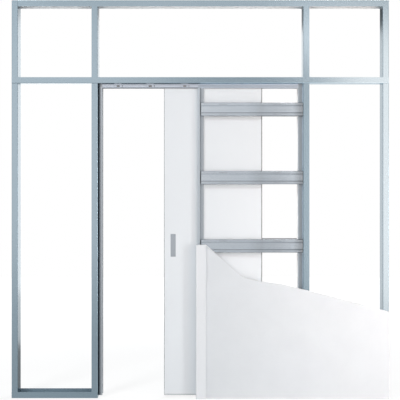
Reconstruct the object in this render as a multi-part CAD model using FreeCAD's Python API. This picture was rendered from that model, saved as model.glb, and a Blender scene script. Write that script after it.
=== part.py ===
import FreeCAD, Part
import math
import os

V = FreeCAD.Vector

# Wall frame of folded steel channels
wall_depth = 100.0
flange = 40.0
sheet = 2.0
bend = 1.5
gentle_bend = 70.0
frame_height = 2585.0
left_bay = 479.0
right_bay = 476.0
anchor_d = 7.0
bay_anchor = 120.0

# Pocket kit, measured from the step of the split jamb at X = 0
kit_depth = 54.0
kit_sheet = 2.0
passage_width = 623.0
pocket_length = 636.0
nose_width = 15.0
nose_lip = 10.0
seat_width = 22.0
closing_flange = 28.0
closing_bend = 14.0
back_flange = 33.0
back_bend = 0.3
kit_floor_gap = 14.0
head_clear = 2016.0
head_height = 29.0
head_joint = 13.0
head_hem = 5.0
head_step = 1.5

# Ribbed rails that carry the board
rail_count = 5
rail_first = 56.5
rail_pitch = 444.3
rail_height = 86.0
rail_sheet = 1.2
rail_bend = 4.0
rail_lip = 9.0
rib_inset = 20.0
rib_depth = 2.5
rib_half = 4.0
rail_end_gap = 4.5
rail_stud_gap = 3.0

# Running track and trolleys
track_width = 34.0
track_height = 23.0
track_wall = 2.5
track_slot = 12.0
wheel_d = 13.0
wheel_width = 5.0
wheel_base = 40.0
wheel_play = 0.5
axle_d = 4.0
carriage_length = 60.0
carriage_height = 9.0
bolt_d = 8.0
hanger_length = 80.0
hanger_width = 26.0
hanger_plate = 3.0
trolley_inset = 120.0
leaf_close_entry = 8.0
leaf_open_proud = 13.0
stop_length = 30.0
stop_gap = 5.0

# Door leaf and its flush pulls
leaf_width = 640.0
leaf_thick = 40.0
leaf_floor_gap = 13.0
leaf_head_gap = 1.0
leaf_out = 221.0
leaf_edge = 3.0
pull_width = 33.0
pull_height = 148.0
pull_depth = 13.0
pull_rim = 3.0
pull_floor = 1.5
pull_corner = 3.0
pull_inset = 59.0
pull_centre = 990.0

# Foot of the pocket mouth
foot_length = 90.0
foot_plate = 2.0
anchor_inset = 12.0
guide_gap = 5.0
guide_length = 36.0
guide_height = 30.0
guide_wall = 6.0
guide_lead = 3.0
guide_setback = 1.0

# Head clips
clip_width = 50.0
clip_sheet = 1.5
clip_slot = 20.0
clip_slot_height = 11.0
clip_lift = 0.5
clip_seat = 0.5
clip_gap = 1.0
clip_entry = 4.0
clip_places = (-535.0, -326.0, -101.0)

# Lining left in place
board_thick = 12.5
liner_thick = 13.0
trim_width = 65.0
trim_thick = 15.0
trim_round = 3.0
trim_height = 997.0
board_cut = ((277.0, 786.0), (394.0, 759.5), (541.0, 738.5), (706.0, 698.5))
board_right_z = 563.0
board_sweep = 400.0
board_corner = 60.0

half = wall_depth / 2
kit_half = kit_depth / 2
mouth_x = -nose_width
close_x = mouth_x - passage_width
door_stud_x = close_x - closing_flange
pocket_stud_x = pocket_length + back_flange
left_x = door_stud_x - flange - left_bay - flange
right_x = pocket_stud_x + flange + right_bay + flange
header_z = head_clear + head_height
leaf_x = mouth_x - leaf_out
leaf_top = head_clear - leaf_head_gap
track_top = header_z - kit_sheet
track_bottom = track_top - track_height


def box(x0, x1, y0, y1, z0, z1):
    return Part.makeBox(x1 - x0, y1 - y0, z1 - z0, V(x0, y0, z0))


def rounded(points, radii, place):
    # closed wire through 2-D points with an arc of the given radius at each corner
    pts = [V(u, v, 0) for u, v in points]
    cuts = []
    for i, p in enumerate(pts):
        a = (pts[i - 1] - p).normalize()
        b = (pts[(i + 1) % len(pts)] - p).normalize()
        if radii[i] <= 0:
            cuts.append((p, None, p))
            continue
        corner = a.getAngle(b) / 2
        reach = radii[i] / math.tan(corner)
        centre = p + (a + b).normalize() * (radii[i] / math.sin(corner))
        middle = centre + (p - centre).normalize() * radii[i]
        cuts.append((p + a * reach, middle, p + b * reach))
    edges = []
    for i, (start, middle, end) in enumerate(cuts):
        last = cuts[i - 1][2]
        if (start - last).Length > 1e-6:
            edges.append(Part.makeLine(place(last), place(start)))
        if middle is not None:
            edges.append(Part.Arc(place(start), place(middle), place(end)).toShape())
    return Part.Wire(edges)


def folded(path, thickness, radius, place, tight=()):
    # face of a bent sheet: the path is its outer line, thickness lies to the right of it,
    # and the corners listed as tight are folded without a radius
    count = len(path)
    shifted = []
    for i in range(count):
        dirs = []
        for j in (i - 1, i):
            if 0 <= j < count - 1:
                du = path[j + 1][0] - path[j][0]
                dv = path[j + 1][1] - path[j][1]
                size = math.hypot(du, dv)
                dirs.append((du / size, dv / size))
        n0 = (dirs[0][1], -dirs[0][0])
        n1 = (dirs[-1][1], -dirs[-1][0])
        scale = thickness / (1 + n0[0] * n1[0] + n0[1] * n1[1])
        shifted.append((path[i][0] + (n0[0] + n1[0]) * scale, path[i][1] + (n0[1] + n1[1]) * scale))
    outer = [0.0] * count
    inner = [0.0] * count
    for i in range(1, count - 1):
        before = V(path[i][0] - path[i - 1][0], path[i][1] - path[i - 1][1], 0)
        after = V(path[i + 1][0] - path[i][0], path[i + 1][1] - path[i][1], 0)
        if i not in tight and math.degrees(before.getAngle(after)) > gentle_bend:
            right_turn = before.cross(after).z < 0
            outer[i] = radius + thickness if right_turn else radius
            inner[i] = radius if right_turn else radius + thickness
    return Part.Face(rounded(list(path) + shifted[::-1], outer + inner[::-1], place))


def along_x(path, thickness, radius, x0, x1, tight=()):
    face = folded(path, thickness, radius, lambda p: V(x0, p.x, p.y), tight)
    return face.extrude(V(x1 - x0, 0, 0))


def along_z(path, thickness, radius, z0, z1):
    face = folded(path, thickness, radius, lambda p: V(p.x, p.y, z0))
    return face.extrude(V(0, 0, z1 - z0))


def mirrored(shape):
    return shape.mirror(V(0, 0, 0), V(0, 1, 0))


def track(x0, x1, z_web, z_edge):
    # channel lying along X with its web at z_web and its flange edges at z_edge
    side = -half if z_edge < z_web else half
    path = ((side, z_edge), (side, z_web), (-side, z_web), (-side, z_edge))
    return along_x(path, sheet, bend, x0, x1)


def notch(x0, x1, z0, z1):
    # clears the two flanges of a stud where its web stands inside a track
    depth = sheet + bend
    front = box(x0, x1, -half, -half + depth, z0, z1)
    return front.fuse(mirrored(front))


def channel_stud(web_x, edge_x, z0, z1):
    side = half if edge_x < web_x else -half
    path = ((edge_x, side), (web_x, side), (web_x, -side), (edge_x, -side))
    return along_z(path, sheet, bend, z0, z1)


def box_stud(x0, x1, z0, z1):
    def ring(inset, radius):
        points = ((x0 + inset, -half + inset), (x1 - inset, -half + inset),
                  (x1 - inset, half - inset), (x0 + inset, half - inset))
        wire = rounded(points, [radius] * 4, lambda p: V(p.x, p.y, z0))
        return Part.Face(wire).extrude(V(0, 0, z1 - z0))
    return ring(0, sheet + bend).cut(ring(sheet, 0))


def lower_stud(maker, xa, xb):
    foot = notch(min(xa, xb), max(xa, xb), sheet, flange)
    return maker(xa, xb, sheet, header_z).cut(foot)


def upper_stud(maker, xa, xb, notched_top=True):
    top = frame_height - sheet
    cuts = notch(min(xa, xb), max(xa, xb), header_z + sheet, header_z + flange)
    if notched_top:
        cuts = cuts.fuse(notch(min(xa, xb), max(xa, xb), frame_height - flange, top))
    return maker(xa, xb, header_z + sheet, top).cut(cuts)


def anchored(shape, bay_start, bay_end, z_web):
    # two anchor holes on the centre line of the web, in one bay
    for x in (bay_start + bay_anchor, bay_end - bay_anchor):
        shape = shape.cut(Part.makeCylinder(anchor_d / 2, 2 * sheet, V(x, 0, z_web - sheet)))
    return shape


def left_anchored(shape, z_web):
    return anchored(shape, left_x + flange, door_stud_x - flange, z_web)


def right_anchored(shape, z_web):
    return anchored(shape, pocket_stud_x + flange, right_x - flange, z_web)


def top_track():
    full = track(left_x, right_x, frame_height, frame_height - flange)
    full = left_anchored(right_anchored(full, frame_height), frame_height)
    return full.cut(box(left_x, left_x + flange, -half, half, frame_height - flange, frame_height - sheet))


def closing_jamb():
    path = ((close_x, -kit_half), (door_stud_x, -kit_half), (door_stud_x, kit_half), (close_x, kit_half))
    return along_z(path, kit_sheet, closing_bend, kit_floor_gap, header_z)


def back_post():
    edge = pocket_length
    path = ((edge, kit_half), (pocket_stud_x, kit_half), (pocket_stud_x, -kit_half), (edge, -kit_half))
    return along_z(path, kit_sheet, back_bend, sheet, header_z)


def split_jamb():
    # hollow nose at the pocket mouth with a seat flange behind the rail ends
    inner = kit_half - kit_sheet
    path = ((seat_width, -kit_half), (0, -kit_half), (0, -half), (mouth_x, -half),
            (mouth_x, -inner), (mouth_x + nose_lip, -inner))
    return along_z(path, kit_sheet, bend, foot_plate, head_clear)


def head_rail(x0, x1):
    # downward channel with a stepped hem along each lower edge
    hem = head_clear + head_hem
    out = kit_half
    path = ((-out, head_clear), (-out, hem), (-out + head_step, hem + head_step), (-out + head_step, header_z),
            (out - head_step, header_z), (out - head_step, hem + head_step), (out, hem), (out, head_clear))
    return along_x(path, kit_sheet, bend, x0, x1)


def running_track(x0, x1):
    w = track_width / 2
    s = track_slot / 2
    path = ((-s, track_bottom), (-w, track_bottom), (-w, track_top), (w, track_top), (w, track_bottom),
            (s, track_bottom))
    return along_x(path, track_wall, bend, x0, x1)


def ribbed_rail(z0):
    # roll-formed rail: two pressed grooves in the face, returned lips against the posts
    z1 = z0 + rail_height
    back = -kit_half
    face = -half
    valley = face + rib_depth
    path = [(back, z0 + rail_lip), (back, z0), (face, z0)]
    for middle in (z0 + rib_inset, z1 - rib_inset):
        path += [(face, middle - rib_half), (valley, middle), (face, middle + rib_half)]
    path += [(face, z1), (back, z1), (back, z1 - rail_lip)]
    lips = (1, len(path) - 2)
    return along_x(path, rail_sheet, rail_bend, bend + rail_end_gap, pocket_stud_x - rail_stud_gap, lips)


def foot():
    plate = box(mouth_x, mouth_x + foot_length, -half, half, 0, foot_plate)
    for y in (-half + anchor_inset, half - anchor_inset):
        for x in (seat_width + anchor_inset, mouth_x + foot_length - anchor_inset):
            plate = plate.cut(Part.makeCylinder(anchor_d / 2, foot_plate, V(x, y, 0)))
    return plate


def floor_guides():
    # pair of cheeks with tapered ends that keep the foot of the leaf central
    x0 = seat_width + guide_setback
    x1 = x0 + guide_length
    near = -leaf_thick / 2 - guide_gap
    far = near - guide_wall
    points = ((x0, far), (x1, far), (x1, near - guide_lead), (x1 - guide_lead, near),
              (x0 + guide_lead, near), (x0, near - guide_lead))
    wire = rounded(points, [0] * len(points), lambda p: V(p.x, p.y, foot_plate))
    cheek = Part.Face(wire).extrude(V(0, 0, guide_height))
    return cheek, mirrored(cheek)


def clip_bottom():
    return head_clear + head_hem + head_step + clip_lift


def clip_windows(rail):
    # openings through both sides of the head rail, bridged by the clips
    z0 = clip_bottom() + clip_seat
    for x in clip_places:
        x0 = x - clip_width / 2 - clip_gap
        x1 = x + clip_width / 2 + clip_entry
        rail = rail.cut(box(x0, x1, -kit_half, kit_half, z0, z0 + clip_slot_height))
    return rail


def head_clips():
    face = -kit_half + head_step
    z0 = clip_bottom()
    clips = []
    for x in clip_places:
        plate = box(x - clip_width / 2, x + clip_width / 2, face - clip_sheet, face, z0, header_z)
        slot = box(x - clip_slot / 2, x + clip_slot / 2, face - clip_sheet, face, z0, z0 + clip_slot_height)
        clip = plate.cut(slot)
        clips += [clip, mirrored(clip)]
    return clips


def pull_block(width, height, depth, corner):
    x = leaf_x + pull_inset
    z = pull_centre
    points = ((x - width / 2, z - height / 2), (x + width / 2, z - height / 2),
              (x + width / 2, z + height / 2), (x - width / 2, z + height / 2))
    wire = rounded(points, [corner] * 4, lambda p: V(p.x, -leaf_thick / 2, p.y))
    return Part.Face(wire).extrude(V(0, depth, 0))


def flush_pull():
    body = pull_block(pull_width, pull_height, pull_depth, pull_corner)
    cup = pull_block(pull_width - 2 * pull_rim, pull_height - 2 * pull_rim, pull_depth - pull_floor,
                     pull_corner / 2)
    return body.cut(cup)


def trolley_centres():
    return leaf_x + trolley_inset, leaf_x + leaf_width - trolley_inset


def hanger_recess(x):
    return box(x - hanger_length / 2, x + hanger_length / 2, -hanger_width / 2, hanger_width / 2,
               leaf_top - hanger_plate, leaf_top)


def door_leaf():
    z0 = leaf_floor_gap
    slab = box(leaf_x, leaf_x + leaf_width, -leaf_thick / 2, leaf_thick / 2, z0, leaf_top)
    arrises = [e for e in slab.Edges if e.BoundBox.ZMin < leaf_top - leaf_edge]
    slab = slab.makeChamfer(leaf_edge, arrises)
    mortise = pull_block(pull_width, pull_height, pull_depth, pull_corner)
    slab = slab.cut(mortise).cut(mirrored(mortise))
    for x in trolley_centres():
        slab = slab.cut(hanger_recess(x))
    return slab


def trolley(x):
    # four-wheel carriage in the running track, hung bolt and plate let into the leaf
    ledge = track_bottom + track_wall
    axle_z = ledge + wheel_play + wheel_d / 2
    reach = track_width / 2 - track_wall - wheel_play * 2
    side = reach - wheel_width
    carriage = box(x - carriage_length / 2, x + carriage_length / 2, -side, side,
                   axle_z - carriage_height / 2, axle_z + carriage_height / 2)
    for dx in (-wheel_base / 2, wheel_base / 2):
        pin = Part.makeCylinder(axle_d / 2, 2 * reach, V(x + dx, -reach, axle_z), V(0, 1, 0))
        carriage = carriage.fuse(pin)
        for y in (-reach, side):
            wheel = Part.makeCylinder(wheel_d / 2, wheel_width, V(x + dx, y, axle_z), V(0, 1, 0))
            carriage = carriage.fuse(wheel)
    bolt = Part.makeCylinder(bolt_d / 2, axle_z - leaf_top, V(x, 0, leaf_top))
    return carriage.fuse(bolt).fuse(hanger_recess(x)).removeSplitter()


def track_stops():
    # buffers in the running track that end the travel of the trolleys
    leading, trailing = trolley_centres()
    reach = carriage_length / 2 + stop_gap
    shut = leading - reach - (leaf_x - close_x + leaf_close_entry)
    opened = trailing + reach + (mouth_x - leaf_open_proud - leaf_x)
    y = track_width / 2 - track_wall - bend
    z0 = track_bottom + track_wall
    z1 = track_top - track_wall
    return (box(shut - stop_length, shut, -y, y, z0, z1), box(opened, opened + stop_length, -y, y, z0, z1))


def plasterboard():
    # board with its free cut edge running down to the right
    trim_x = mouth_x - liner_thick + trim_width
    points = [(mouth_x, 0), (right_x, 0), (right_x, board_right_z)]
    points += list(board_cut[::-1]) + [(trim_x, trim_height), (mouth_x, trim_height)]
    radii = [0, 0, 0] + [board_sweep] * (len(board_cut) - 1) + [board_corner, 0, 0]
    wire = rounded(points, radii, lambda p: V(p.x, -half - board_thick, p.y))
    return Part.Face(wire).extrude(V(0, board_thick, 0))


def architrave():
    x0 = mouth_x - liner_thick
    y1 = -half - board_thick
    strip = box(x0, x0 + trim_width, y1 - trim_thick, y1, 0, trim_height)
    arrises = [e for e in strip.Edges if e.BoundBox.ZLength > trim_width and e.BoundBox.YMax < y1]
    return strip.makeFillet(trim_round, arrises)


def jamb_liner():
    return box(mouth_x - liner_thick, mouth_x, -half - board_thick, -kit_half + kit_sheet, 0, trim_height)


def build():
    nodes = {}
    nodes["top_track"] = top_track()
    nodes["header_track"] = track(left_x, right_x, header_z, header_z + flange)
    nodes["floor_track_left"] = left_anchored(track(left_x, door_stud_x, 0, flange), 0)
    nodes["floor_track_right"] = right_anchored(track(mouth_x + foot_length, right_x, 0, flange), 0)
    ends = (("left", left_x, left_x + flange), ("right", right_x - flange, right_x))
    for name, x0, x1 in ends:
        nodes["end_stud_" + name] = lower_stud(box_stud, x0, x1)
        nodes["upper_end_stud_" + name] = upper_stud(box_stud, x0, x1, name == "right")
    webs = (("door_stud", door_stud_x, door_stud_x - flange),
            ("pocket_stud", pocket_stud_x, pocket_stud_x + flange))
    for name, web_x, edge_x in webs:
        nodes[name] = lower_stud(channel_stud, web_x, edge_x)
        nodes["upper_" + name] = upper_stud(channel_stud, web_x, edge_x)
    nodes["closing_jamb"] = closing_jamb()
    nodes["pocket_back_post"] = back_post()
    nodes["split_jamb_front"] = split_jamb()
    nodes["split_jamb_back"] = mirrored(split_jamb())
    nodes["head_rail_opening"] = clip_windows(head_rail(close_x, -head_joint))
    nodes["head_rail_pocket"] = head_rail(-head_joint, pocket_length)
    nodes["running_track"] = running_track(close_x, pocket_length)
    nodes["track_stops"] = Part.makeCompound(track_stops())
    nodes["head_clips"] = Part.makeCompound(head_clips())
    for i in range(rail_count):
        rail = ribbed_rail(rail_first + i * rail_pitch)
        nodes["front_rail_%d" % (i + 1)] = rail
        nodes["back_rail_%d" % (i + 1)] = mirrored(rail)
    nodes["foot_plate"] = foot()
    nodes["floor_guides"] = Part.makeCompound(floor_guides())
    nodes["door_leaf"] = door_leaf()
    nodes["flush_pull_front"] = flush_pull()
    nodes["flush_pull_back"] = mirrored(flush_pull())
    leading, trailing = trolley_centres()
    nodes["trolley_leading"] = trolley(leading)
    nodes["trolley_trailing"] = trolley(trailing)
    nodes["plasterboard"] = plasterboard()
    nodes["architrave"] = architrave()
    nodes["jamb_liner"] = jamb_liner()
    return nodes


os.makedirs("parts", exist_ok=True)
for node, shape in build().items():
    shape.exportStep("parts/%s.step" % node)
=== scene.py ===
import math

import bpy
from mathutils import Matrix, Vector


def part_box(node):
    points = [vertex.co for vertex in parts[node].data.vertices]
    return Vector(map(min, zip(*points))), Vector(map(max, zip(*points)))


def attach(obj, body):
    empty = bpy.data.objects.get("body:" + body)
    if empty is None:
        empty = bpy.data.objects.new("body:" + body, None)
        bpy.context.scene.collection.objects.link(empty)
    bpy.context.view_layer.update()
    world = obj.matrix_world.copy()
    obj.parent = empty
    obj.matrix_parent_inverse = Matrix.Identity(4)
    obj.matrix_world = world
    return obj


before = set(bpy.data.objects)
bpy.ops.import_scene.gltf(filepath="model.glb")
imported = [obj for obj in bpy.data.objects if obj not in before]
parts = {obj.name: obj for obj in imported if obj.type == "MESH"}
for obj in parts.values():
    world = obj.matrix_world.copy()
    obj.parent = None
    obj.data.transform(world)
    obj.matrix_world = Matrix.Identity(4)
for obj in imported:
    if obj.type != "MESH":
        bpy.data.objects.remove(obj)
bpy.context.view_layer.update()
scene = bpy.context.scene
scene.view_settings.view_transform = "Standard"


# Tracks and studs of the wall frame: channels folded from hot-dip galvanised steel strip.
# The zinc shows faint crystals and long rolling streaks, satin and cool, and some rolled edges carry a painted
# highlight.
# The studs stand in the tracks and are fixed through their webs.
def finish_material(name, metallic, roughness):
    material = bpy.data.materials.new(name)
    material.use_nodes = True
    shader = material.node_tree.nodes["Principled BSDF"]
    shader.inputs["Metallic"].default_value = metallic
    shader.inputs["Roughness"].default_value = roughness
    return material, material.node_tree, shader


def dress(material, *names):
    for name in names:
        mesh = parts[name].data
        mesh.materials.clear()
        mesh.materials.append(material)


def feed(tree, socket, value):
    if isinstance(value, bpy.types.NodeSocket):
        tree.links.new(value, socket)
    elif socket.type == "RGBA":
        socket.default_value = (*value, 1)
    else:
        socket.default_value = value


def node(tree, kind, **values):
    made = tree.nodes.new("ShaderNode" + kind)
    for label, value in values.items():
        feed(tree, made.inputs[label], value)
    return made.outputs


def reckon(tree, operation, *values, clamp=False):
    step = tree.nodes.new("ShaderNodeMath")
    step.operation = operation
    step.use_clamp = clamp
    for socket, value in zip(step.inputs, values):
        feed(tree, socket, value)
    return step.outputs["Value"]


def blend_in(tree, factor, under, over, blend="MIX"):
    mix = tree.nodes.new("ShaderNodeMix")
    mix.data_type = "RGBA"
    mix.blend_type = blend
    for label, value in (("Factor", factor), ("A", under), ("B", over)):
        feed(tree, mix.inputs[label], value)
    return mix.outputs["Result"]


def relief(tree, shader, height, strength, distance):
    bump = node(tree, "Bump", Height=height, Strength=strength, Distance=distance)
    feed(tree, shader.inputs["Normal"], bump["Normal"])


def group_ends(group):
    return group, group.nodes.new("NodeGroupInput").outputs, group.nodes.new("NodeGroupOutput").inputs


def skin_group(name, takes, gives):
    group = bpy.data.node_groups.new(name, "ShaderNodeTree")
    for label, kind in takes.items():
        group.interface.new_socket(label, in_out="INPUT", socket_type="NodeSocket" + kind)
    for label in gives:
        group.interface.new_socket(label, in_out="OUTPUT", socket_type="NodeSocketFloat")
    return group_ends(group)


def group_in(tree, group, **values):
    placed = tree.nodes.new("ShaderNodeGroup")
    placed.node_tree = group
    for label, value in values.items():
        feed(tree, placed.inputs[label.replace("_", " ")], value)
    return placed.outputs


zinc_skin, takes, gives = skin_group(
    "zinc_skin", {"Place": "Vector", "Run": "Vector", "Crystals": "Float", "Streaks": "Float",
                  "Crystal Share": "Float"}, ["Tone"])
cells = node(zinc_skin, "TexVoronoi", Vector=takes["Place"], Scale=takes["Crystals"])
shade = node(zinc_skin, "SeparateColor", Color=cells["Color"])
streak = node(zinc_skin, "TexNoise", Vector=takes["Run"], Scale=takes["Streaks"], Detail=3.0)
tone = node(zinc_skin, "Mix", Factor=takes["Crystal Share"], A=streak["Fac"], B=shade["Red"])
feed(zinc_skin, gives["Tone"], tone["Result"])

STREAKS = 8.0
HAZE = 0.06
ZINC_RELIEF = 0.0004


def zinc_finish(name, dark, light, roughness, run, crystals, share, rise):
    material, tree, shader = finish_material(name, metallic=1.0, roughness=roughness)
    place = node(tree, "TexCoord")["Object"]
    stretched = node(tree, "Mapping", Vector=place, Scale=run)["Vector"]
    tone = group_in(tree, zinc_skin, Place=place, Run=stretched, Crystals=crystals, Streaks=STREAKS,
                    Crystal_Share=share)["Tone"]
    feed(tree, shader.inputs["Base Color"], blend_in(tree, tone, dark, light))
    haze = reckon(tree, "MULTIPLY_ADD", tone, HAZE, roughness - HAZE / 2)
    feed(tree, shader.inputs["Roughness"], haze)
    relief(tree, shader, tone, rise, ZINC_RELIEF)
    return material


rubbed_band, takes, gives = skin_group(
    "rubbed_band", {"Along": "Float", "Low": "Float", "High": "Float", "Fade": "Float"}, ["Mask"])
ends = [reckon(rubbed_band, "DIVIDE", reckon(rubbed_band, "SUBTRACT", *pair), takes["Fade"], clamp=True)
        for pair in ((takes["Along"], takes["Low"]), (takes["High"], takes["Along"]))]
feed(rubbed_band, gives["Mask"], reckon(rubbed_band, "MINIMUM", *ends))


def object_place(material):
    tree = material.node_tree
    return node(tree, "SeparateXYZ", Vector=node(tree, "TexCoord")["Object"])


# A band is from, to (both counted from the start), the tone that multiplies the colour there, and its fade; the
# bands paint light and shade onto the colour.
def tone_bands(material, along, start, *bands):
    tree = material.node_tree
    if isinstance(along, str):
        along = object_place(material)[along]
    colour = tree.nodes["Principled BSDF"].inputs["Base Color"]
    for low, high, tone, fade in bands:
        mask = group_in(tree, rubbed_band, Along=along, Low=start + low, High=start + high, Fade=fade)["Mask"]
        feed(tree, colour, blend_in(tree, mask, colour.links[0].from_socket, (tone, tone, tone), "MULTIPLY"))


UPRIGHT_RUN = (12.0, 12.0, 0.4)
LEVEL_RUN = (0.4, 12.0, 12.0)


def stud_zinc(name, run):
    return zinc_finish(name, dark=(0.197, 0.260, 0.305), light=(0.227, 0.297, 0.346), roughness=0.25, run=run,
                       crystals=220.0, share=0.4, rise=0.006)


PAST_EDGE = 0.001
STUD_BEND = 0.0038
BEND_FADE = 0.0008
# Painted highlights on the rolled bends of the door stud and the pocket stud.
DOOR_STUD_HIGHLIGHT = (-STUD_BEND, STUD_BEND, 1.55, BEND_FADE)
POCKET_STUD_HIGHLIGHT = (-STUD_BEND, STUD_BEND, 1.35, BEND_FADE)
# Painted highlight on the header's lower bend, right of the pocket's mouth.
HEADER_HIGHLIGHT = (-PAST_EDGE, STUD_BEND, 2.0, BEND_FADE)
upright_zinc = stud_zinc("stud_zinc_upright", UPRIGHT_RUN)
edge_zinc = stud_zinc("stud_zinc_edge", UPRIGHT_RUN)
level_zinc = stud_zinc("stud_zinc_level", LEVEL_RUN)
tone_bands(edge_zinc, "X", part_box("door_stud")[1][0], DOOR_STUD_HIGHLIGHT)
tone_bands(edge_zinc, "X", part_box("pocket_stud")[0][0], POCKET_STUD_HIGHLIGHT)
# Left of the pocket's mouth the header's height is counted a metre too high, so that only the right gets the
# painted highlight.
tree = level_zinc.node_tree
place = object_place(level_zinc)
pocket_side = reckon(tree, "ADD", place["Z"], reckon(tree, "LESS_THAN", place["X"], 0.0))
tone_bands(level_zinc, pocket_side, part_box("header_track")[0][2], HEADER_HIGHLIGHT)
dress(level_zinc, "header_track")
dress(edge_zinc, "door_stud", "pocket_stud")
dress(upright_zinc, "end_stud_left", "end_stud_right", "upper_end_stud_left", "upper_end_stud_right",
      "upper_door_stud", "upper_pocket_stud")


# Ceiling and floor tracks: the same channel, fixed through its web with the open side to the studs.
# The inner faces are painted paler and rougher, painted light in the channel's shade: pale on the ceiling track,
# a little paler on the floor track.
def measure(tree, operation, *vectors):
    step = tree.nodes.new("ShaderNodeVectorMath")
    step.operation = operation
    for socket, value in zip(step.inputs, vectors):
        feed(tree, socket, value)
    return step.outputs["Value"]


FLANGE_TURN = -0.01
WEB_TURN = 0.5
inner_faces, takes, gives = skin_group(
    "inner_faces", {"Place": "Vector", "Facing": "Vector", "Web": "Vector"}, ["Mask"])
place = node(inner_faces, "SeparateXYZ", Vector=takes["Place"])
facing = node(inner_faces, "SeparateXYZ", Vector=takes["Facing"])
outward = reckon(inner_faces, "MULTIPLY", place["Y"], facing["Y"])
turned_in = reckon(inner_faces, "LESS_THAN", outward, FLANGE_TURN)
along_web = measure(inner_faces, "DOT_PRODUCT", takes["Facing"], takes["Web"])
web_side = reckon(inner_faces, "GREATER_THAN", along_web, WEB_TURN)
feed(inner_faces, gives["Mask"], reckon(inner_faces, "MAXIMUM", turned_in, web_side))


# Painted light: faces that look into the channel take a paler colour and more roughness.
def paint_light_inside(material, web, painted_light_tone, roughness):
    tree = material.node_tree
    shader = tree.nodes["Principled BSDF"]
    inside = group_in(tree, inner_faces, Place=node(tree, "TexCoord")["Object"],
                      Facing=node(tree, "NewGeometry")["Normal"], Web=web)["Mask"]
    colour = shader.inputs["Base Color"]
    feed(tree, colour, blend_in(tree, inside, colour.links[0].from_socket, painted_light_tone))
    haze = shader.inputs["Roughness"]
    feed(tree, haze, node(tree, "Mix", Factor=inside, A=haze.links[0].from_socket, B=roughness)["Result"])


ceiling_zinc = stud_zinc("stud_zinc_ceiling", LEVEL_RUN)
paint_light_inside(ceiling_zinc, web=(0, 0, -1), painted_light_tone=(0.92, 0.935, 0.945), roughness=0.8)
dress(ceiling_zinc, "top_track")
floor_zinc = stud_zinc("stud_zinc_floor", LEVEL_RUN)
paint_light_inside(floor_zinc, web=(0, 0, 1), painted_light_tone=(0.25, 0.33, 0.385), roughness=0.7)
dress(floor_zinc, "floor_track_left", "floor_track_right")


# Pocket kit: jambs, back post, head rails and clips of bright galvanised strip, folded on a brake.
# It is a shade lighter and finer in grain than the wall channels, with painted highlights and painted shade along
# its hems, edges and recesses.
# The jambs are screwed to the studs, the head rails hang under the header.
def kit_zinc(name, run, roughness, dark, light):
    return zinc_finish(name, dark, light, roughness, run, crystals=260.0, share=0.4, rise=0.012)


UPRIGHT_ROUGHNESS = 0.55
LEVEL_ROUGHNESS = 0.50
# The copies differ in tone as painted shade and light: the post darker than the jamb, nose and head rails
# lighter, the pocket's head rail darker than the opening's.
kit_upright = kit_zinc("kit_zinc_upright", UPRIGHT_RUN, UPRIGHT_ROUGHNESS,
                       dark=(0.26, 0.285, 0.31), light=(0.32, 0.35, 0.38))
kit_post = kit_zinc("kit_zinc_post", UPRIGHT_RUN, UPRIGHT_ROUGHNESS,
                    dark=(0.18, 0.213, 0.243), light=(0.228, 0.265, 0.297))
kit_nose = kit_zinc("kit_zinc_nose", UPRIGHT_RUN, UPRIGHT_ROUGHNESS,
                    dark=(0.35, 0.395, 0.44), light=(0.42, 0.47, 0.515))
kit_level = kit_zinc("kit_zinc_level", LEVEL_RUN, LEVEL_ROUGHNESS,
                     dark=(0.386, 0.432, 0.495), light=(0.470, 0.521, 0.588))
kit_pocket = kit_zinc("kit_zinc_pocket", LEVEL_RUN, LEVEL_ROUGHNESS,
                      dark=(0.286, 0.330, 0.384), light=(0.348, 0.397, 0.456))
# Painted light: the inner faces of the closing jamb and the back post are painted paler and rougher, the post's
# most.
paint_light_inside(kit_upright, web=(1, 0, 0), painted_light_tone=(0.50, 0.53, 0.55), roughness=0.7)
paint_light_inside(kit_post, web=(-1, 0, 0), painted_light_tone=(0.80, 0.82, 0.83), roughness=0.8)

SHARP_FADE = 0.0004
HEM = 0.0052
JAMB_HOLLOW_SHADE = (-0.028, -0.010, 0.72, 0.003)
JAMB_ARRIS_HIGHLIGHT = (-0.007, PAST_EDGE, 1.18, 0.003)
POST_LIP_LIGHT = (-0.004, 0.008, 1.40, 0.004)
POST_ARRIS_HIGHLIGHT = (-0.007, 0.004, 2.6, 0.003)
NOSE_MIDDLE_SHADE = (-0.035, 0.035, 0.84, SHARP_FADE)
NOSE_RETURN_SHADE = (-0.009, 0.005, 0.86, 0.001)
NOSE_ARRIS_SHADE = (-0.003, 0.005, 0.86, 0.001)
OPENING_HEM_SHADE = (-PAST_EDGE, HEM, 0.65, SHARP_FADE)
POCKET_HEM_LIGHT = (-PAST_EDGE, HEM, 1.20, SHARP_FADE)
POCKET_FACE_LIGHT = (0.019, 0.060, 1.75, 0.008)
jamb_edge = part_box("closing_jamb")[1][0]
post_left, post_right = (corner[0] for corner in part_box("pocket_back_post"))
head_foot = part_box("head_rail_opening")[0][2]
# Painted shade in the hollow beside the stud and a painted highlight on the jamb's arris.
tone_bands(kit_upright, "X", jamb_edge, JAMB_HOLLOW_SHADE, JAMB_ARRIS_HIGHLIGHT)
# Painted light on the post's near lip and a painted highlight on its arris by the stud.
tone_bands(kit_post, "X", post_left, POST_LIP_LIGHT)
tone_bands(kit_post, "X", post_right, POST_ARRIS_HIGHLIGHT)
# Painted shade on the recessed seat between the noses and on the step at the pocket's mouth.
tone_bands(kit_nose, "Y", 0.0, NOSE_MIDDLE_SHADE)
tone_bands(kit_nose, "X", 0.0, NOSE_RETURN_SHADE, NOSE_ARRIS_SHADE)
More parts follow.
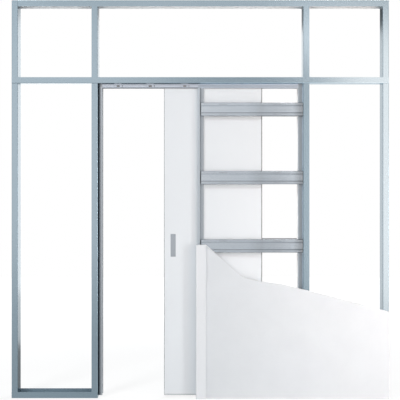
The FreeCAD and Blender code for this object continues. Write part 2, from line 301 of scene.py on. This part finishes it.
# Painted shade on the opening head rail's hem, painted light on the pocket head rail's hem and upper face.
tone_bands(kit_level, "Z", head_foot, OPENING_HEM_SHADE)
tone_bands(kit_pocket, "Z", head_foot, POCKET_HEM_LIGHT, POCKET_FACE_LIGHT)
dress(kit_upright, "closing_jamb")
dress(kit_post, "pocket_back_post")
dress(kit_nose, "split_jamb_front", "split_jamb_back", "foot_plate")
dress(kit_level, "head_rail_opening", "head_clips")
dress(kit_pocket, "head_rail_pocket")


# Ribbed rails that form the two walls of the pocket: roll-formed galvanised strip.
# Two grooves are pressed along the face and the edges are returned as lips; lips and grooves carry painted shade
# beside the rolled middle.
# They are fixed to the split jambs and the back post, painted lighter high up and painted darker in the middle
# and at the post: painted light and shade.
RAILS = 5
RAIL_INSET = 0.020
GROOVE_HALF = 0.004
RAIL_MARGIN = 0.01
LIP_FADE = 0.002
rail_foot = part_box("front_rail_1")[0][2]
rail_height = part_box("front_rail_1")[1][2] - rail_foot
rail_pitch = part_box("front_rail_2")[0][2] - rail_foot
rail_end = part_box("front_rail_1")[1][0]
LOW_LIP = (-RAIL_MARGIN, RAIL_INSET + GROOVE_HALF, 0.92, LIP_FADE)
LOW_GROOVE = (RAIL_INSET - GROOVE_HALF, RAIL_INSET + GROOVE_HALF, 0.84, LIP_FADE)
HIGH_LIP = (rail_height - RAIL_INSET - GROOVE_HALF, rail_height + RAIL_MARGIN, 0.95, LIP_FADE)
UPPER_LIGHT = (0.6, 9.0, 1.12, 1.4)
MIDDLE_SHADE = (0.30, 0.50, 0.84, 0.10)
NEAR_POST_SHADE = (-0.24, 0.07, 0.885, 0.07)
POST_SHADE = (-0.065, 0.05, 0.58, 0.05)


def rail_finish(name, dark, light, roughness):
    return zinc_finish(name, dark, light, roughness, run=(0.4, 14.0, 14.0), crystals=260.0, share=0.3, rise=0.012)


# Painted light and shade on rails and pads: brighter high up, darker in the middle and towards the post.
def rail_light_and_shade(material):
    tone_bands(material, "Z", 0.0, UPPER_LIGHT)
    tone_bands(material, "X", 0.0, MIDDLE_SHADE)
    tone_bands(material, "X", rail_end, NEAR_POST_SHADE, POST_SHADE)


rail_zinc = rail_finish("rail_zinc", dark=(0.374, 0.416, 0.458), light=(0.430, 0.472, 0.516), roughness=0.20)
tree = rail_zinc.node_tree
lifted = reckon(tree, "SUBTRACT", object_place(rail_zinc)["Z"], rail_foot - RAIL_MARGIN)
height = reckon(tree, "SUBTRACT", reckon(tree, "MODULO", lifted, rail_pitch), RAIL_MARGIN)
# Painted shade along the lips and grooves of every rail.
tone_bands(rail_zinc, height, 0.0, LOW_LIP, LOW_GROOVE, HIGH_LIP)
rail_light_and_shade(rail_zinc)
for level in range(1, RAILS + 1):
    dress(rail_zinc, "front_rail_%d" % level, "back_rail_%d" % level)


# Pads on the rails: short dashes pressed up from both lips when the strip is rolled.
# They are part of the same sheet, a little duller than the lip round them.
# Two stand on each lip of the upper three rails of the near wall and of all the rails of the far wall.
def row_tree(name, **sizes):
    group = bpy.data.node_groups.new(name, "GeometryNodeTree")
    sockets = group.interface
    sockets.new_socket("Geometry", in_out="INPUT", socket_type="NodeSocketGeometry")
    for label, value in sizes.items():
        size = sockets.new_socket(label.replace("_", " "), in_out="INPUT", socket_type="NodeSocketFloat")
        size.default_value = value
    sockets.new_socket("Count", in_out="INPUT", socket_type="NodeSocketInt")
    sockets.new_socket("Finish", in_out="INPUT", socket_type="NodeSocketMaterial")
    sockets.new_socket("Geometry", in_out="OUTPUT", socket_type="NodeSocketGeometry")
    return group_ends(group)


def shape(group, kind, **values):
    made = group.nodes.new("GeometryNode" + kind)
    for label, value in values.items():
        feed(group, made.inputs[label.replace("_", " ")], value)
    return made.outputs


def vector(group, **values):
    return node(group, "CombineXYZ", **values)["Vector"]


def close_tree(group, takes, gives, geometry):
    real = shape(group, "RealizeInstances", Geometry=geometry)["Geometry"]
    finished = shape(group, "SetMaterial", Geometry=real, Material=takes["Finish"])["Geometry"]
    feed(group, gives["Geometry"], finished)


def grown(name, group, slot, **values):
    seed = bpy.data.objects.new(name + "_seed", bpy.data.meshes.new(name + "_seed"))
    scene.collection.objects.link(seed)
    grow = seed.modifiers.new(name, "NODES")
    grow.node_group = group
    for item in group.interface.items_tree:
        label = item.name.replace(" ", "_")
        if item.in_out == "INPUT" and label in values:
            grow[item.identifier] = values[label]
    bpy.context.view_layer.update()
    shown = seed.evaluated_get(bpy.context.evaluated_depsgraph_get())
    mesh = bpy.data.meshes.new_from_object(shown)
    seed.modifiers.remove(grow)
    bpy.data.objects.remove(seed)
    for index in reversed(range(len(mesh.materials))):
        if mesh.materials[index] is None:
            mesh.materials.pop(index=index)
    mesh.name = name
    piece = bpy.data.objects.new(name, mesh)
    scene.collection.objects.link(piece)
    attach(piece, "frame")


PAD_SIDES = 16
PADS_ON_LIP = 2
rail_pads, takes, gives = row_tree("rail_pads", Length=0.054, Height=0.008, Rise=0.0008, Lip=0.0105, Start=0.0,
                                   Span=0.349, Face=0.0, Rail_Height=rail_height, First=0.0, Pitch=rail_pitch)
radius = reckon(rail_pads, "MULTIPLY", takes["Height"], 0.5)
run = reckon(rail_pads, "SUBTRACT", takes["Length"], takes["Height"])
disc = shape(rail_pads, "MeshCylinder", Vertices=PAD_SIDES, Radius=radius, Depth=takes["Rise"])["Mesh"]
centres = shape(rail_pads, "MeshLine", Count=2, Offset=vector(rail_pads, X=run))["Mesh"]
ends = shape(rail_pads, "InstanceOnPoints", Points=centres, Instance=disc)["Instances"]
ends = shape(rail_pads, "RealizeInstances", Geometry=ends)["Geometry"]
hull = shape(rail_pads, "ConvexHull", Geometry=ends)["Convex Hull"]
pad = shape(rail_pads, "Transform", Geometry=hull, Rotation=(math.pi / 2, 0, 0))["Geometry"]
on_rail = rail_pads.nodes.new("GeometryNodeJoinGeometry")
for lip in (takes["Lip"], reckon(rail_pads, "SUBTRACT", takes["Rail Height"], takes["Lip"])):
    places = shape(rail_pads, "MeshLine", Count=PADS_ON_LIP, Offset=vector(rail_pads, X=takes["Span"]),
                   Start_Location=vector(rail_pads, X=takes["Start"], Y=takes["Face"], Z=lip))["Mesh"]
    pads = shape(rail_pads, "InstanceOnPoints", Points=places, Instance=pad)["Instances"]
    feed(rail_pads, on_rail.inputs["Geometry"], pads)
rails = shape(rail_pads, "MeshLine", Count=takes["Count"], Start_Location=vector(rail_pads, Z=takes["First"]),
              Offset=vector(rail_pads, Z=takes["Pitch"]))["Mesh"]
all_pads = shape(rail_pads, "InstanceOnPoints", Points=rails, Instance=on_rail.outputs["Geometry"])["Instances"]
close_tree(rail_pads, takes, gives, all_pads)

PAD_FIRST = 0.120
FRONT_OPEN = 3
pad_zinc = rail_finish("pad_zinc", dark=(0.312, 0.347, 0.382), light=(0.359, 0.394, 0.431), roughness=0.22)
rail_light_and_shade(pad_zinc)
pad_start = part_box("front_rail_1")[0][0] + PAD_FIRST
grown("front_rail_pads", rail_pads, "kit_steel", Start=pad_start, Face=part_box("front_rail_1")[0][1],
      First=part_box("front_rail_%d" % FRONT_OPEN)[0][2], Count=RAILS + 1 - FRONT_OPEN, Finish=pad_zinc)
grown("back_rail_pads", rail_pads, "kit_steel", Start=pad_start, Face=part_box("back_rail_1")[1][1],
      First=rail_foot, Count=RAILS, Finish=pad_zinc)


# Fixing screws: zinc-plated wafer heads with a cross recess, pressed and plated.
# One row holds the closing jamb to its stud, one the back post, through the webs.
SCREWS_IN_ROW = 5
HEAD_SIDES = 24
CROWN_SHARE = 0.72
ARM_LENGTH_SHARE = 0.8
ARM_WIDTH_SHARE = 0.18
RECESS_SHARE = 0.9
screw_rows, takes, gives = row_tree("screw_rows", Head_Radius=0.0055, Head_Rise=0.0022, Pitch=0.44, First=0.14,
                                    Jamb_Face=0.0, Post_Face=0.0)
crown = reckon(screw_rows, "MULTIPLY", takes["Head Radius"], CROWN_SHARE)
head = shape(screw_rows, "MeshCone", Vertices=HEAD_SIDES, Radius_Top=crown, Radius_Bottom=takes["Head Radius"],
             Depth=takes["Head Rise"])["Mesh"]
recessed = screw_rows.nodes.new("GeometryNodeMeshBoolean")
recessed.operation = "DIFFERENCE"
feed(screw_rows, recessed.inputs["Mesh 1"], head)
arm_length = reckon(screw_rows, "MULTIPLY", takes["Head Radius"], ARM_LENGTH_SHARE)
arm_width = reckon(screw_rows, "MULTIPLY", takes["Head Radius"], ARM_WIDTH_SHARE)
sunk = reckon(screw_rows, "MULTIPLY", takes["Head Rise"], RECESS_SHARE)
for long_axis, short_axis in (("X", "Y"), ("Y", "X")):
    size = vector(screw_rows, **{long_axis: arm_length, short_axis: arm_width, "Z": takes["Head Rise"]})
    arm = shape(screw_rows, "MeshCube", Size=size)["Mesh"]
    arm = shape(screw_rows, "Transform", Geometry=arm, Translation=vector(screw_rows, Z=sunk))["Geometry"]
    feed(screw_rows, recessed.inputs["Mesh 2"], arm)
both_rows = screw_rows.nodes.new("GeometryNodeJoinGeometry")
for label, turn in (("Jamb Face", math.pi / 2), ("Post Face", -math.pi / 2)):
    places = shape(screw_rows, "MeshLine", Count=takes["Count"], Offset=vector(screw_rows, Z=takes["Pitch"]),
                   Start_Location=vector(screw_rows, X=takes[label], Z=takes["First"]))["Mesh"]
    row = shape(screw_rows, "InstanceOnPoints", Points=places, Instance=recessed.outputs["Mesh"],
                Rotation=(0, turn, 0))["Instances"]
    feed(screw_rows, both_rows.inputs["Geometry"], row)
close_tree(screw_rows, takes, gives, both_rows.outputs["Geometry"])

KIT_SHEET = 0.002
NO_RUN = (1.0, 1.0, 1.0)
screw_plating = zinc_finish("screw_plating", dark=(0.42, 0.42, 0.41), light=(0.54, 0.54, 0.53), roughness=0.32,
                            run=NO_RUN, crystals=400.0, share=0.5, rise=0.05)
grown("fixing_screws", screw_rows, "kit_steel", Jamb_Face=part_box("closing_jamb")[0][0] + KIT_SHEET,
      Post_Face=post_right - KIT_SHEET, Count=SCREWS_IN_ROW, Finish=screw_plating)


# Running track: drawn aluminium section with a natural anodised skin and fine draw lines; its colour is painted
# darker, painted shade inside the head.
# It is screwed up into the head rails and carries the two trolleys.
track_skin = zinc_finish("track_aluminium", dark=(0.27, 0.275, 0.285), light=(0.33, 0.335, 0.345), roughness=0.60,
                         run=(0.5, 60.0, 60.0), crystals=20.0, share=0.0, rise=0.05)
dress(track_skin, "running_track")


# Trolleys: zinc-plated carriages on four small wheels, each with a hanger bolt and plate.
# The plate is let into the top of the leaf and screwed down.
trolley_plate = zinc_finish("trolley_plating", dark=(0.40, 0.40, 0.41), light=(0.52, 0.52, 0.53), roughness=0.30,
                            run=NO_RUN, crystals=150.0, share=0.5, rise=0.05)
dress(trolley_plate, "trolley_leading", "trolley_trailing")


# Track stops and floor guides: moulded grey nylon with a fine spark-eroded grain.
# The stops clamp inside the track, the guides are screwed to the foot plate.
NYLON_DARK = (0.128, 0.132, 0.14)
NYLON_LIGHT = (0.192, 0.198, 0.21)
nylon, tree, shader = finish_material("guide_nylon", metallic=0.0, roughness=0.5)
grain = node(tree, "TexNoise", Vector=node(tree, "TexCoord")["Object"], Scale=900.0)["Fac"]
feed(tree, shader.inputs["Base Color"], blend_in(tree, grain, NYLON_DARK, NYLON_LIGHT))
relief(tree, shader, grain, strength=0.15, distance=0.0002)
dress(nylon, "track_stops", "floor_guides")


# Door leaf: hollow-core slab with a sprayed white lacquer, slightly pebbled by the spray.
# Its edge faces are grey and its trailing and lower edges darker still, with darker lines on the face beside
# them: painted shade along the outline.
# The pulls are let into both faces.
spray_skin, takes, gives = skin_group(
    "spray_skin", {"Place": "Vector", "Cloud": "Float", "Pebble": "Float"}, ["Tone", "Height"])
cloud = node(spray_skin, "TexNoise", Vector=takes["Place"], Scale=takes["Cloud"], Detail=4.0)
pebble = node(spray_skin, "TexNoise", Vector=takes["Place"], Scale=takes["Pebble"], Detail=1.0)
feed(spray_skin, gives["Tone"], cloud["Fac"])
feed(spray_skin, gives["Height"], pebble["Fac"])


def lacquer(name, low, high, roughness, pebble):
    material, tree, shader = finish_material(name, metallic=0.0, roughness=roughness)
    skin = group_in(tree, spray_skin, Place=node(tree, "TexCoord")["Object"], Cloud=2.2, Pebble=pebble)
    colour = blend_in(tree, skin["Tone"], low, high)
    feed(tree, shader.inputs["Base Color"], colour)
    relief(tree, shader, skin["Height"], strength=0.06, distance=0.0005)
    return material, tree, shader, colour


EDGE_SHADE = (0.28, 0.29, 0.30)
DEEP_EDGE_SHADE = (0.10, 0.105, 0.11)
FACE_TURN = 0.8
EDGE_TURN = 0.3
LINE_FADE = 0.001
TRAILING_SHADE = (-0.0068, 0.01, 0.50, LINE_FADE)
LOWER_SHADE = (-0.01, 0.012, 0.86, LINE_FADE)
leaf_lacquer, tree, shader, colour = lacquer("leaf_lacquer", low=(0.77, 0.81, 0.843), high=(0.80, 0.84, 0.873),
                                             roughness=0.38, pebble=260.0)
# Painted shade: edge faces grey, those facing along +X or down darker, and dark lines on the face beside the
# trailing and lower edges.
facing = node(tree, "SeparateXYZ", Vector=node(tree, "NewGeometry")["Normal"])
edge = reckon(tree, "LESS_THAN", reckon(tree, "ABSOLUTE", facing["Y"]), FACE_TURN)
shaded_sides = reckon(tree, "MAXIMUM", reckon(tree, "GREATER_THAN", facing["X"], EDGE_TURN),
                reckon(tree, "LESS_THAN", facing["Z"], -EDGE_TURN))
edging = blend_in(tree, shaded_sides, EDGE_SHADE, DEEP_EDGE_SHADE)
feed(tree, shader.inputs["Base Color"], blend_in(tree, edge, colour, edging))
tone_bands(leaf_lacquer, "X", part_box("door_leaf")[1][0], TRAILING_SHADE)
tone_bands(leaf_lacquer, "Z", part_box("door_leaf")[0][2], LOWER_SHADE)
dress(leaf_lacquer, "door_leaf")


# Flush pulls: pressed stainless cups with a satin face brushed from top to bottom.
# They are glued into mortises in the leaf, one on each face.
pull_satin = zinc_finish("pull_satin", dark=(0.275, 0.305, 0.34), light=(0.365, 0.405, 0.445), roughness=0.34,
                         run=(120.0, 120.0, 3.0), crystals=4.0, share=0.0, rise=0.12)
dress(pull_satin, "flush_pull_front", "flush_pull_back")


# Plasterboard left on the pocket side: gypsum core between sheets of pale paper, cut away by hand.
# The paper is faintly mottled and fibrous, the cut edge shows the chalky, crumbled core.
PAPER_LOW = (0.638, 0.674, 0.706)
PAPER_HIGH = (0.724, 0.759, 0.791)
CORE_LOW = (0.84, 0.84, 0.825)
CORE_HIGH = (0.92, 0.92, 0.91)
FIBRES = 320.0
CRUMBS = 700.0
MOTTLE_SHARE = 0.7
CRUMB_RISE = 4.0
board_paper, tree, shader = finish_material("board_paper", metallic=0.0, roughness=0.5)
place = node(tree, "TexCoord")["Object"]
fibre = node(tree, "TexNoise", Vector=place, Scale=FIBRES, Detail=4.0)["Fac"]
crumb = node(tree, "TexNoise", Vector=place, Scale=CRUMBS, Detail=2.0)["Fac"]
facing = node(tree, "SeparateXYZ", Vector=node(tree, "NewGeometry")["Normal"])
cut = reckon(tree, "GREATER_THAN", facing["Z"], EDGE_TURN)
mottle = group_in(tree, spray_skin, Place=place, Cloud=8.0, Pebble=FIBRES)["Tone"]
mottled = node(tree, "Mix", Factor=MOTTLE_SHARE, A=fibre, B=mottle)["Result"]
paper = blend_in(tree, mottled, PAPER_LOW, PAPER_HIGH)
core = blend_in(tree, crumb, CORE_LOW, CORE_HIGH)
feed(tree, shader.inputs["Base Color"], blend_in(tree, cut, paper, core))
crumbled = reckon(tree, "MULTIPLY", crumb, CRUMB_RISE)
rough = node(tree, "Mix", Factor=cut, A=fibre, B=crumbled)["Result"]
relief(tree, shader, rough, strength=0.15, distance=0.0005)
dress(board_paper, "plasterboard")


# Architrave and jamb liner: primed and lacquered softwood strips, sawn off with the board.
# The architrave is pinned over the joint between liner and board.
trim_lacquer = lacquer("trim_lacquer", low=(0.755, 0.785, 0.815), high=(0.78, 0.81, 0.84), roughness=0.42,
                       pebble=180.0)[0]
dress(trim_lacquer, "architrave", "jamb_liner")


# Studio room: white wherever it is seen or mirrored, a soft blue-grey where it only lights the part.
# The pale floor takes the shadow and glows more away from the part; close behind it, a painted shadow darkens it
# in reflections.
def seen_white(tree):
    rays = node(tree, "LightPath")
    return reckon(tree, "MAXIMUM", reckon(tree, "MAXIMUM", rays["Is Camera Ray"], rays["Is Glossy Ray"]),
                  rays["Is Transmission Ray"])


world = bpy.data.worlds.new("white_room")
scene.world = world
world.use_nodes = True
tree = world.node_tree
tree.nodes.clear()
ambient = node(tree, "Background", Color=(0.86, 0.95, 1.0), Strength=0.36)
white = node(tree, "Background", Color=(1, 1, 1), Strength=1.0)
blend = tree.nodes.new("ShaderNodeMixShader")
for socket, value in zip(blend.inputs, (seen_white(tree), ambient["Background"], white["Background"])):
    feed(tree, socket, value)
node(tree, "OutputWorld", Surface=blend.outputs["Shader"])


def flat_sheet(name, corners, material):
    mesh = bpy.data.meshes.new(name)
    mesh.from_pydata(corners, [], [(0, 1, 2, 3)])
    mesh.materials.append(material)
    sheet = bpy.data.objects.new(name, mesh)
    scene.collection.objects.link(sheet)
    return sheet


FLOOR_HALF = 6.0
FLOOR_LIT = (0.70, 0.71, 0.72)
FLOOR_SEEN = (0.22, 0.22, 0.22)
GLOW_NEAR = 0.80
GLOW_GAIN = 0.17
GLOW_START = 1.4
GLOW_REACH = 4.0
MIRROR_DEPTH = 1.72
MIRROR_FADE = 0.10
MIRROR_LOSS = 0.80
floor_white = bpy.data.materials.new("floor_white")
floor_white.use_nodes = True
tree = floor_white.node_tree
tree.nodes.clear()
seen = seen_white(tree)
matt = node(tree, "BsdfDiffuse", Color=blend_in(tree, seen, FLOOR_LIT, FLOOR_SEEN))
away = measure(tree, "LENGTH", node(tree, "TexCoord")["Object"])
outer = reckon(tree, "DIVIDE", reckon(tree, "SUBTRACT", away, GLOW_START), GLOW_REACH, clamp=True)
light = reckon(tree, "MULTIPLY_ADD", outer, GLOW_GAIN, GLOW_NEAR)
# Painted shadow: reflections see the floor's glow cut close behind the part.
behind = group_in(tree, rubbed_band, Along=object_place(floor_white)["Y"], Low=0.0, High=MIRROR_DEPTH,
                  Fade=MIRROR_FADE)["Mask"]
mirrored = reckon(tree, "MULTIPLY", behind, node(tree, "LightPath")["Is Glossy Ray"])
light = reckon(tree, "MULTIPLY", light, reckon(tree, "MULTIPLY_ADD", mirrored, -MIRROR_LOSS, 1.0))
glow = node(tree, "Emission", Strength=reckon(tree, "MULTIPLY", seen, light))
both = tree.nodes.new("ShaderNodeAddShader")
feed(tree, both.inputs[0], matt["BSDF"])
feed(tree, both.inputs[1], glow["Emission"])
node(tree, "OutputMaterial", Surface=both.outputs["Shader"])
floor = flat_sheet("studio_floor", [(-FLOOR_HALF, -FLOOR_HALF, 0), (FLOOR_HALF, -FLOOR_HALF, 0),
                                    (FLOOR_HALF, FLOOR_HALF, 0), (-FLOOR_HALF, FLOOR_HALF, 0)], floor_white)


# Black card, matt, hung high behind the part where only reflections see it.
# It gives the upper ends of the studs on the pocket side their dark tone.
CARD_LEFT = -0.05
CARD_RIGHT = 1.7
CARD_BEHIND = 3.0
CARD_LOW = 2.83
CARD_HIGH = 4.4
card_black, tree, shader = finish_material("card_black", metallic=0.0, roughness=1.0)
feed(tree, shader.inputs["Base Color"], (0.004, 0.004, 0.004))
feed(tree, shader.inputs["Specular IOR Level"], 0.0)
card = flat_sheet("black_card", [(CARD_LEFT, CARD_BEHIND, CARD_LOW), (CARD_RIGHT, CARD_BEHIND, CARD_LOW),
                                 (CARD_RIGHT, CARD_BEHIND, CARD_HIGH), (CARD_LEFT, CARD_BEHIND, CARD_HIGH)],
                  card_black)
card.visible_camera = card.visible_diffuse = card.visible_shadow = False


# Lamps: soft rectangular panels that face the part squarely where the steel mirrors them.
# The key and the high lamps are turned to a target and light the pale faces from each side.
def soft_lamp(name, place, colour, width, height, brightness, target=None, spread=180.0):
    data = bpy.data.lights.new(name, "AREA")
    data.spread = math.radians(spread)
    data.shape = "RECTANGLE"
    data.size = width
    data.size_y = height
    data.energy = brightness * math.pi * width * height
    data.color = colour
    lamp = bpy.data.objects.new(name, data)
    lamp.location = place
    aim = [t - p for t, p in zip(target or (place[0], 0, place[2]), place)]
    lamp.rotation_euler = (math.atan2(math.hypot(aim[0], aim[1]), -aim[2]), 0,
                           math.atan2(aim[1], aim[0]) - math.pi / 2)
    scene.collection.objects.link(lamp)


WHITE = (1.0, 1.0, 1.0)
WARM = (1.0, 0.84, 0.77)
AMBER = (1.0, 0.765, 0.645)
soft_lamp("key", (2.9, -2.0, 0.95), WHITE, width=0.5, height=1.4, brightness=3.4, target=(0.5, 0, 0.3),
          spread=75.0)
soft_lamp("high", (-2.7, -3.0, 4.6), WHITE, width=1.2, height=1.2, brightness=24.6, target=(-0.2, 0, 1.4))
soft_lamp("left_panel", (-2.68, -6.0, 1.83), WARM, width=4.65, height=3.56, brightness=0.95)
soft_lamp("right_panel", (2.22, -2.6, 1.42), AMBER, width=1.90, height=2.86, brightness=1.31, spread=120.0)
soft_lamp("upper_panel", (1.0, -2.6, 2.67), WARM, width=0.4, height=0.31, brightness=3.7)
soft_lamp("strip", (1.02, -2.6, 1.2), WHITE, width=0.2, height=1.75, brightness=1.0)
soft_lamp("top_panel", (0.9, -6.0, 3.85), WARM, width=3.4, height=0.9, brightness=1.2)
soft_lamp("back_panel", (-1.5, 4.0, 1.6), WHITE, width=3.0, height=3.0, brightness=0.9)
soft_lamp("back_high", (1.6, 3.4, 4.6), WHITE, width=1.4, height=1.4, brightness=16.0, target=(0.2, 0, 1.2))


# Camera: level and square to the front, at eye height.
# The lens is shifted down so that the uprights stay upright.
LENS = 81.78
SENSOR = 36.0
LENS_SHIFT = -0.1004
CAMERA_PLACE = (-0.0017, -5.95, 1.548)
camera_data = bpy.data.cameras.new("view")
camera_data.lens = LENS
camera_data.sensor_width = SENSOR
camera_data.shift_y = LENS_SHIFT
camera = bpy.data.objects.new("view", camera_data)
camera.location = CAMERA_PLACE
camera.rotation_euler = (math.pi / 2, 0, 0)
scene.collection.objects.link(camera)
scene.camera = camera
